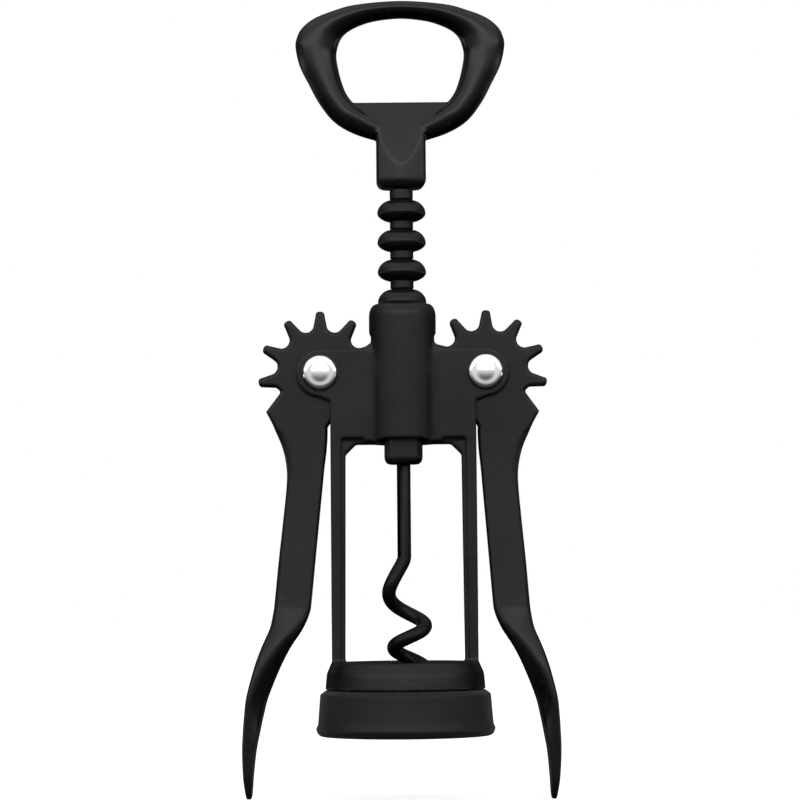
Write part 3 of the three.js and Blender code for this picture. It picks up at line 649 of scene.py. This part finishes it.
def make_worm():
    steps = round(HELIX_LENGTH / HELIX_PITCH * WIRE_STEPS_PER_TURN)
    rows = [(Vector((0, 0, NECK_BOTTOM + SHANK_SOCKET_DEPTH - FIT_GAP)), WIRE_RADIUS)]
    for i in range(steps + 1):
        drop = HELIX_LENGTH * i / steps
        left = min((HELIX_LENGTH - drop) / WORM_POINT_LENGTH, 1)
        rows.append((worm_point(drop), mix(WORM_POINT_RADIUS, WIRE_RADIUS, math.sqrt(left))))
    sections = []
    for i, (place, radius) in enumerate(rows):
        before = rows[max(0, i - 1)][0]
        after = rows[min(len(rows) - 1, i + 1)][0]
        along = Vector((0, 0, -1)) if i < 2 else (after - before).normalized()
        across = Vector((0, 1, 0)).cross(along).normalized()
        over = along.cross(across)
        sections.append([place + across * x + over * y for x, y in oval(radius, radius, 2, WIRE_SIDES)])
    return loft("worm_wire", sections)


def ferrule_section(inset, z):
    """A square with cut corners."""
    half = FERRULE_HALF_WIDTH - inset
    flat = FERRULE_HALF_WIDTH - FERRULE_CORNER_CUT - inset / 2
    corners = [(half, -flat), (half, flat), (flat, half), (-flat, half), (-half, flat),
               (-half, -flat), (-flat, -half), (flat, -half)]
    return [(x, y, z) for x, y in corners]


def make_ferrule():
    rows = [(0, FERRULE_TOP)]
    for i in range(FERRULE_FOOT_STEPS + 1):
        turn = math.pi / 2 * i / FERRULE_FOOT_STEPS
        foot_z = FERRULE_BOTTOM + FERRULE_FOOT * (1 - math.sin(turn))
        rows.append((FERRULE_FOOT * (1 - math.cos(turn)), foot_z))
    piece = loft("ferrule_crimped", [ferrule_section(inset, z) for inset, z in rows])
    cut(piece, round_bar("bore", SHANK_BORE, FERRULE_BOTTOM - CUT_OVER, FERRULE_TOP + CUT_OVER))
    cast(piece, FERRULE_VOXEL, FERRULE_ROUNDS)
    return piece


# Right lever's stem about its pivot: drop as a share of the lever's length, outer and inner edge as shares
# of the spread out from the bar's face, then the half depth of each edge as a share of the grip's
STEM_SHARES = [
    (0.100, 0.705, 0.002, 0.265, 0.265),
    (0.134, 0.628, -0.014, 0.266, 0.266),
    (0.178, 0.534, -0.004, 0.268, 0.268),
    (0.223, 0.486, 0.023, 0.275, 0.275),
    (0.267, 0.485, 0.044, 0.285, 0.285),
    (0.356, 0.529, 0.087, 0.32, 0.32),
    (0.445, 0.577, 0.129, 0.365, 0.365),
    (0.534, 0.619, 0.171, 0.42, 0.41),
    (0.564, 0.637, 0.194, 0.46, 0.42),
    (0.601, 0.678, 0.274, 0.58, 0.40),
    (0.646, 0.776, 0.424, 0.78, 0.34),
    (0.691, 0.857, 0.542, 0.93, 0.30),
    (0.757, 0.946, 0.680, 0.98, 0.36),
    (0.800, 0.974, 0.742, 0.93, 0.60),
    (0.845, 0.991, 0.794, 0.86, 0.82),
    (0.891, 1.000, 0.839, 0.78, 0.84),
    (0.950, 0.986, 0.868, 0.68, 0.74),
    (0.985, 0.962, 0.877, 0.50, 0.52),
    (1.000, 0.948, 0.886, 0.26, 0.26),
]

# Ridge along the stem: drop share, and where the ridge lies from the outer edge to the inner one
STEM_RIDGE_SHARES = [(0.54, 0.85), (0.585, 0.8), (0.632, 0.62), (0.70, 0.46), (0.774, 0.32), (0.83, 0.45),
                     (1.0, 0.6)]

# Drop shares over which the stem's edges grow rounder, the most of a side that a round corner takes, and
# how much of the way to the inner edge's half depth the ridge goes
EDGE_GROWTH_SHARES = (0.18, 0.56)
MOST_CUT_SHARE = 0.42
RIDGE_FALL = 0.15

# Bar's outer face and the lever's gap to it, from the pivot
STEM_BASE = FRAME_HALF_WIDTH + LEVER_GAP - PIVOT_X


def share_at(rows, place):
    """The share at a place in a table, on a straight line between its rows."""
    if place <= rows[0][0]:
        return rows[0][1]
    for (low, first), (high, second) in zip(rows, rows[1:]):
        if place <= high:
            return mix(first, second, (place - low) / (high - low))
    return rows[-1][1]


def stem_x(share):
    return STEM_BASE + share * LEVER_SPREAD


def bend(start, corner, end, steps):
    """Points after the start on a quadratic curve to the end."""
    shares = [k / steps for k in range(1, steps + 1)]
    return [start * (1 - t) ** 2 + corner * 2 * t * (1 - t) + end * t ** 2 for t in shares]


def soft_section(corners, radius, z):
    """A section whose corners are rounded off."""
    section = []
    for i, corner in enumerate(corners):
        ends = []
        for other in (corners[i - 1], corners[(i + 1) % len(corners)]):
            length = (other - corner).length
            ends.append(corner.lerp(other, min(radius, MOST_CUT_SHARE * length) / length))
        for point in [ends[0]] + bend(ends[0], corner, ends[1], CORNER_STEPS):
            section.append((point.x, point.y, z))
    return section


def lever_stem(side):
    outer = []
    inner = []
    for drop, outer_share, inner_share, outer_depth, inner_depth in STEM_SHARES:
        z = -drop * LEVER_LENGTH
        outer.append((stem_x(outer_share), outer_depth * GRIP_HALF_DEPTH, z))
        inner.append((stem_x(inner_share), inner_depth * GRIP_HALF_DEPTH, z))
    sections = []
    for out, into in zip(smooth_rows(outer, STEM_ROW_STEPS), smooth_rows(inner, STEM_ROW_STEPS)):
        drop = -out.z / LEVER_LENGTH
        ridge = share_at(STEM_RIDGE_SHARES, drop)
        middle = mix(out.x, into.x, ridge)
        level = mix(out.y, into.y, ridge * RIDGE_FALL)
        corners = [(out.x, -out.y), (out.x, out.y), (middle, level), (into.x, into.y), (into.x, -into.y),
                   (middle, -level)]
        radius = mix(STEM_EDGE_RADIUS, GRIP_EDGE_RADIUS, smoothstep(drop, *EDGE_GROWTH_SHARES))
        sections.append(soft_section([Vector((side * x, y)) for x, y in corners], radius, out.z))
    return loft("stem", sections)


def polar(radius, angle):
    return Vector((radius * math.cos(angle), radius * math.sin(angle)))


# Foot of the toothed plate, lapped over the stem, then its heel: spread and drop shares as for the stem
GEAR_FOOT_SHARES = [(0.012, 0.134), (0.3, 0.178), (0.61, 0.137), (0.739, 0.091)]


def gear_outline():
    """The toothed plate of the right lever about its pivot, larger by what the softening takes off."""
    last = math.pi + CLOSED_TOOTH_TURN
    first = last - (TOOTH_COUNT - 1) * TOOTH_TURN
    tip_radius = GEAR_TIP_RADIUS + TIP_ALLOWANCE
    root_turn = (TOOTH_ROOT_HALF + FLANK_ALLOWANCE / 2) / GEAR_ROOT_RADIUS
    tip_turn = (TOOTH_TIP_HALF + FLANK_ALLOWANCE) / tip_radius
    flank_foot = GEAR_ROOT_RADIUS + TOOTH_DEDENDUM / 3
    flank_top = tip_radius - TOOTH_TIP_ROUND
    half_valley = TOOTH_TURN / 2 - root_turn
    valley_depth = 2 * GEAR_ROOT_RADIUS - flank_foot * math.cos(half_valley)
    points = [Vector((stem_x(out), -drop * LEVER_LENGTH)) for out, drop in GEAR_FOOT_SHARES]
    points.append(polar(GEAR_ROOT_RADIUS, first - TOOTH_TURN / 2))
    for i in range(TOOTH_COUNT):
        angle = first + i * TOOTH_TURN
        rise = polar(flank_top, angle - tip_turn)
        tip = polar(tip_radius, angle)
        fall = polar(flank_top, angle + tip_turn)
        foot = polar(flank_foot, angle + root_turn)
        points += [polar(flank_foot, angle - root_turn), rise]
        points += bend(rise, polar(tip_radius, angle - tip_turn), tip, BEND_STEPS)
        points += bend(tip, polar(tip_radius, angle + tip_turn), fall, BEND_STEPS)
        points.append(foot)
        if i < TOOTH_COUNT - 1:
            middle = angle + TOOTH_TURN / 2
            next_foot = polar(flank_foot, middle + half_valley)
            points += bend(foot, polar(valley_depth, middle), next_foot, BEND_STEPS)[:-1]
    for i in range(HEEL_STEPS + 1):
        heel_turn = mix(last + TOOTH_TURN / 2, GEAR_ROOT_END, i / HEEL_STEPS)
        points.append(polar(GEAR_ROOT_RADIUS, heel_turn))
    return points


def move_to_pivot(piece, side, turn):
    pivot = Vector((side * PIVOT_X, 0, PIVOT_Z)) * MM
    piece.data.transform(Matrix.Translation(pivot) @ turn)


def make_lever(name, side):
    outline = [(side * point.x, point.y) for point in gear_outline()]
    piece = prism(name, outline, -GEAR_HALF_THICKNESS, GEAR_HALF_THICKNESS)
    edges = piece.modifiers.new("edges", "BEVEL")
    edges.width = GEAR_EDGE_RADIUS * MM
    edges.segments = BEVEL_STEPS
    edges.limit_method = "ANGLE"
    edges.angle_limit = BEVEL_ANGLE
    settle(piece)
    join(piece, lever_stem(side))
    reach = GEAR_HALF_THICKNESS + CUT_OVER
    cut(piece, round_bar("hole", RIVET_BORE, -reach, reach, axis="y"))
    cast(piece, GEAR_VOXEL, GEAR_ROUNDS)
    move_to_pivot(piece, side, Matrix.Rotation(LEVER_LEAN, 4, "Y"))
    return piece


# Rivet's head from its crown to its edge, a low dome, a flat ring and a round edge: radius as a share of
# the head's, height as a share of the dome's
RIVET_DOME_SHARES = [(0, 1), (0.15, 0.986), (0.3, 0.942), (0.45, 0.865), (0.55, 0.83), (0.7, 0.815),
                     (0.8, 0.77), (0.9, 0.62), (0.97, 0.36), (1, 0)]


def make_rivet(name, side):
    seat = -FRAME_HALF_DEPTH - FIT_GAP / 2
    tail = FRAME_HALF_DEPTH + FIT_GAP / 2
    dome = RIVET_HEAD_HEIGHT - RIVET_HEAD_RIM
    rows = [(radius * RIVET_HEAD_RADIUS, seat - RIVET_HEAD_RIM - height * dome)
            for radius, height in RIVET_DOME_SHARES]
    profile = [tuple(point) for point in smooth_rows(rows, RIVET_ROW_STEPS)]
    profile += [(RIVET_HEAD_RADIUS, seat), (RIVET_RADIUS, seat), (RIVET_RADIUS, tail)]
    profile += arc((0, tail), (RIVET_TAIL_RADIUS, RIVET_TAIL_HEIGHT), 0, math.pi / 2)
    piece = lathe(name, profile, sides=RIVET_SIDES)
    move_to_pivot(piece, side, Matrix.Rotation(-math.pi / 2, 4, "X"))
    return piece


def new_material(name):
    material = bpy.data.materials.new(name)
    material.use_nodes = True
    tree = material.node_tree
    tree.nodes.clear()
    output = tree.nodes.new("ShaderNodeOutputMaterial")
    shader = tree.nodes.new("ShaderNodeBsdfPrincipled")
    tree.links.new(shader.outputs["BSDF"], output.inputs["Surface"])
    return material, shader


def noise(tree, scale, detail):
    coordinates = tree.nodes.new("ShaderNodeTexCoord")
    node = tree.nodes.new("ShaderNodeTexNoise")
    node.inputs["Scale"].default_value = scale
    node.inputs["Detail"].default_value = detail
    tree.links.new(coordinates.outputs["Object"], node.inputs["Vector"])
    return node.outputs["Fac"]


def ramp(tree, source, stops):
    """A grey ramp over the source; a stop is a position and its level."""
    node = tree.nodes.new("ShaderNodeValToRGB")
    elements = node.color_ramp.elements
    while len(elements) > 1:
        elements.remove(elements[-1])
    for i, (position, level) in enumerate(stops):
        element = elements[0] if i == 0 else elements.new(position)
        element.position = position
        element.color = (level, level, level, 1)
    tree.links.new(source, node.inputs["Fac"])
    return node.outputs["Color"]


def colour_math(tree, operation, first, second):
    node = tree.nodes.new("ShaderNodeVectorMath")
    node.operation = operation
    tree.links.new(first, node.inputs[0])
    tree.links.new(second, node.inputs[1])
    return node.outputs["Vector"]


# Black finishes: name, range of tone, range of roughness, strength of the orange peel, gloss and sheen
BLACK_FINISHES = {
    "coat": ("powder_coat_black", (0.004, 0.008), (0.28, 0.37), 0.35, 0.22, 0),
    "satin": ("handle_satin_black", (0.004, 0.007), (0.21, 0.28), 0.35, 0.26, 0),
    "wire": ("worm_enamel_black", (0.002, 0.004), (0.34, 0.40), 0.2, 0.16, 0),
    "mould": ("moulded_collar_black", (0.004, 0.007), (0.38, 0.45), 0.25, 0.17, 0.10),
}

# Noise in the black finishes as scale and detail, with its two positions or its stops
BLOTCH_NOISE = (90, 3)
BLOTCH_POSITIONS = (0.35, 0.65)
MATTE_NOISE = (160, 4)
MATTE_POSITIONS = (0.3, 0.7)
DUST_NOISE = (2600, 2)
DUST_STOPS = [(0.66, 0.0), (0.78, 0.012)]
# Painted edge highlight: how much lighter the convex edges are made, over their pointiness
PAINTED_EDGE_HIGHLIGHT_STOPS = [(0.53, 0.0), (0.60, 0.008)]

# Orange peel, coarse to fine: noise and its height in metres
PEEL_LAYERS = [((240, 2), 0.00007), ((700, 2), 0.00003), ((3200, 2), 0.000012)]

# Noise in the bright steel
STEEL_TONE_NOISE = (300, 3)
STEEL_TONE_STOPS = [(0.3, 0.80), (0.7, 0.88)]
STEEL_MATTE_NOISE = (900, 4)
STEEL_MATTE_STOPS = [(0.3, 0.06), (0.7, 0.13)]


def black_finish(name, tones, roughness, peel_strength, gloss, sheen):
    """Cast metal, wire or plastic in black: faint blotches, orange peel, fine dust, and convex edges made
    lighter by a painted highlight.
    """
    material, shader = new_material(name)
    tree = material.node_tree
    shader.inputs["Specular IOR Level"].default_value = gloss
    shader.inputs["Sheen Weight"].default_value = sheen
    blotch = ramp(tree, noise(tree, *BLOTCH_NOISE), zip(BLOTCH_POSITIONS, tones))
    dust = ramp(tree, noise(tree, *DUST_NOISE), DUST_STOPS)
    # Painted highlight: convex edges are made lighter by their pointiness and added into the tone
    edge_highlight_pointiness = tree.nodes.new("ShaderNodeNewGeometry")
    edge = ramp(tree, edge_highlight_pointiness.outputs["Pointiness"], PAINTED_EDGE_HIGHLIGHT_STOPS)
    tone = colour_math(tree, "ADD", blotch, colour_math(tree, "ADD", dust, edge))
    tree.links.new(tone, shader.inputs["Base Color"])
    matte = ramp(tree, noise(tree, *MATTE_NOISE), zip(MATTE_POSITIONS, roughness))
    tree.links.new(matte, shader.inputs["Roughness"])
    last = None
    for peel_noise, height in PEEL_LAYERS:
        peel = tree.nodes.new("ShaderNodeBump")
        peel.inputs["Strength"].default_value = peel_strength
        peel.inputs["Distance"].default_value = height
        tree.links.new(noise(tree, *peel_noise), peel.inputs["Height"])
        if last is not None:
            tree.links.new(last.outputs["Normal"], peel.inputs["Normal"])
        last = peel
    tree.links.new(last.outputs["Normal"], shader.inputs["Normal"])
    return material


def bright_steel():
    material, shader = new_material("rivet_bright_steel")
    tree = material.node_tree
    shader.inputs["Metallic"].default_value = 1
    tone = ramp(tree, noise(tree, *STEEL_TONE_NOISE), STEEL_TONE_STOPS)
    tree.links.new(tone, shader.inputs["Base Color"])
    matte = ramp(tree, noise(tree, *STEEL_MATTE_NOISE), STEEL_MATTE_STOPS)
    tree.links.new(matte, shader.inputs["Roughness"])
    return material


# Body that each CAD node rides on, and the slot of its finish
NODE_PLACES = {
    "frame": ("frame", "coat"),
    "bell_collar": ("frame", "collar"),
    "left_rivet": ("frame", "rivet"),
    "right_rivet": ("frame", "rivet"),
    "rack_sleeve": ("rack", "coat"),
    "handle": ("spindle", "coat"),
    "worm": ("spindle", "worm"),
    "worm_ferrule": ("spindle", "coat"),
    "left_lever": ("left_lever", "coat"),
    "right_lever": ("right_lever", "coat"),
}


def dress(node, piece, material, sharp_from=None):
    """Finishes a piece and lets it stand for its CAD node."""
    piece.data.materials.clear()
    piece.data.materials.append(material)
    for face in piece.data.polygons:
        face.use_smooth = True
    if sharp_from is not None:
        piece.data.set_sharp_from_angle(angle=sharp_from)
    body, slot = NODE_PLACES[node]
    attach(piece, body)
    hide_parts(node)


def build_pieces():
    black = {key: black_finish(*finish) for key, finish in BLACK_FINISHES.items()}
    steel = bright_steel()
    dress("frame", make_frame(), black["coat"])
    dress("bell_collar", make_collar(), black["mould"], SHARP_ANGLE)
    dress("rack_sleeve", make_rack(), black["coat"], SHARP_ANGLE)
    dress("handle", make_handle(), black["satin"])
    dress("worm", make_worm(), black["wire"])
    dress("worm_ferrule", make_ferrule(), black["coat"])
    for word, side in (("left", -1), ("right", 1)):
        dress(f"{word}_lever", make_lever(f"{word}_lever_cast", side), black["coat"])
        dress(f"{word}_rivet", make_rivet(f"{word}_rivet_head", side), steel, SHARP_ANGLE)


# Camera of the photograph, in metres: long lens, low in front, looking up a little
CAMERA_PLACE = (-0.00064, -0.616, 0.0427)
CAMERA_PITCH = math.radians(3.847)
CAMERA_ROLL = math.radians(0.5)
CAMERA_LENS = 130.74
SENSOR_WIDTH = 36


def add_camera():
    data = bpy.data.cameras.new("camera")
    data.lens = CAMERA_LENS
    data.sensor_width = SENSOR_WIDTH
    camera = add_object("camera", data)
    camera.location = CAMERA_PLACE
    camera.rotation_mode = "QUATERNION"
    pitch = Quaternion((1, 0, 0), math.pi / 2 + CAMERA_PITCH)
    roll = Quaternion((0, 0, 1), -CAMERA_ROLL)
    camera.rotation_quaternion = pitch @ roll
    bpy.context.scene.camera = camera


# Key light, in metres: a dim soft box high in front, a little to the left
KEY_PLACE = (-0.08, -1.15, 0.46)
KEY_TARGET = (0, 0, 0.09)
KEY_WIDTH = 0.5
KEY_HEIGHT = 0.3
KEY_WATTS = 0.3


def add_key_light():
    data = bpy.data.lights.new("key", "AREA")
    data.shape = "RECTANGLE"
    data.size = KEY_WIDTH
    data.size_y = KEY_HEIGHT
    data.energy = KEY_WATTS
    light = add_object("key", data)
    light.location = KEY_PLACE
    aim = Vector(KEY_TARGET) - Vector(KEY_PLACE)
    light.rotation_mode = "QUATERNION"
    light.rotation_quaternion = aim.to_track_quat("-Z", "Y")


# Floor, in metres
FLOOR_SIZE = 8
FLOOR_Z = -0.0003
FLOOR_TONE = 0.5
FLOOR_GLOW = 0.75


def add_stage():
    """A pale floor that the camera sees and shadows fall on, and that sends no light back up."""
    material, shader = new_material("studio_white")
    shader.inputs["Base Color"].default_value = (FLOOR_TONE, FLOOR_TONE, FLOOR_TONE, 1)
    shader.inputs["Roughness"].default_value = 1
    shader.inputs["Specular IOR Level"].default_value = 0
    shader.inputs["Emission Color"].default_value = (1, 1, 1, 1)
    shader.inputs["Emission Strength"].default_value = FLOOR_GLOW
    half = FLOOR_SIZE / 2
    corners = [(-half, -half), (half, -half), (half, half), (-half, half)]
    mesh = bpy.data.meshes.new("floor")
    mesh.from_pydata([(x, y, FLOOR_Z) for x, y in corners], [], [(0, 1, 2, 3)])
    mesh.materials.append(material)
    floor = add_object("floor", mesh)
    floor.visible_diffuse = False
    floor.visible_glossy = False


# Light from a bright band in front just above the horizon, from the ceiling and from the table. Each is
# the product of its levels over the axes of the direction, where position 0 stands for -1 and 1 for 1
TENT_STOPS = {
    "X": [(0.0, 0.9), (0.25, 0.97), (0.4, 1.0), (0.55, 1.0), (0.75, 0.94), (1.0, 0.86)],
    "Y": [(0.0, 1.0), (0.15, 1.0), (0.26, 0.92), (0.35, 0.62), (0.43, 0.28), (0.52, 0.08), (0.7, 0.04),
          (1.0, 0.02)],
    "Z": [(0.0, 0.02), (0.24, 0.02), (0.30, 0.03), (0.36, 0.05), (0.40, 0.07), (0.44, 0.10), (0.48, 0.15),
          (0.53, 0.22), (0.56, 0.25), (0.575, 0.32), (0.595, 0.9), (0.61, 1.0), (0.645, 1.0), (0.68, 0.5),
          (0.75, 0.25), (0.85, 0.12), (1.0, 0.0)],
}
CEILING_STOPS = {
    "Y": [(0.0, 1.0), (0.5, 1.0), (0.62, 0.6), (0.8, 0.2), (1.0, 0.1)],
    "Z": [(0.60, 0.0), (0.7, 0.08), (0.8, 0.24), (0.9, 0.36), (1.0, 0.36)],
}
TABLE_STOPS = {
    "Y": [(0.0, 0.0), (0.3, 0.05), (0.42, 0.3), (0.5, 0.5), (0.62, 0.5), (0.75, 0.32), (0.86, 0.1),
          (1.0, 0.01)],
    "Z": [(0.38, 0.0), (0.42, 0.6), (0.46, 1.0), (0.475, 0.7), (0.49, 0.0)],
}
TENT_STRENGTH = 3.4


def light_term(tree, split, stops_by_axis):
    """The product of the levels that the ramps give over the axes of the direction."""
    term = None
    for axis, stops in stops_by_axis.items():
        share = tree.nodes.new("ShaderNodeMapRange")
        share.inputs["From Min"].default_value = -1
        share.inputs["From Max"].default_value = 1
        tree.links.new(split.outputs[axis], share.inputs["Value"])
        level = ramp(tree, share.outputs["Result"], stops)
        term = level if term is None else colour_math(tree, "MULTIPLY", term, level)
    return term


def add_world():
    """The light round the tool; the camera sees a white backdrop in its place."""
    world = bpy.data.worlds.new("studio")
    world.use_nodes = True
    bpy.context.scene.world = world
    tree = world.node_tree
    tree.nodes.clear()
    output = tree.nodes.new("ShaderNodeOutputWorld")
    tent = tree.nodes.new("ShaderNodeBackground")
    tent.inputs["Strength"].default_value = TENT_STRENGTH
    backdrop = tree.nodes.new("ShaderNodeBackground")
    backdrop.inputs["Color"].default_value = (1, 1, 1, 1)
    backdrop.inputs["Strength"].default_value = 1
    seen = tree.nodes.new("ShaderNodeLightPath")
    choose = tree.nodes.new("ShaderNodeMixShader")
    tree.links.new(seen.outputs["Is Camera Ray"], choose.inputs["Fac"])
    tree.links.new(tent.outputs["Background"], choose.inputs[1])
    tree.links.new(backdrop.outputs["Background"], choose.inputs[2])
    tree.links.new(choose.outputs["Shader"], output.inputs["Surface"])
    place = tree.nodes.new("ShaderNodeTexCoord")
    split = tree.nodes.new("ShaderNodeSeparateXYZ")
    tree.links.new(place.outputs["Generated"], split.inputs["Vector"])
    light = light_term(tree, split, TENT_STOPS)
    for stops_by_axis in (CEILING_STOPS, TABLE_STOPS):
        light = colour_math(tree, "ADD", light, light_term(tree, split, stops_by_axis))
    tree.links.new(light, tent.inputs["Color"])


add_camera()
build_pieces()
add_stage()
add_world()
add_key_light()
bpy.context.scene.view_settings.view_transform = "Standard"
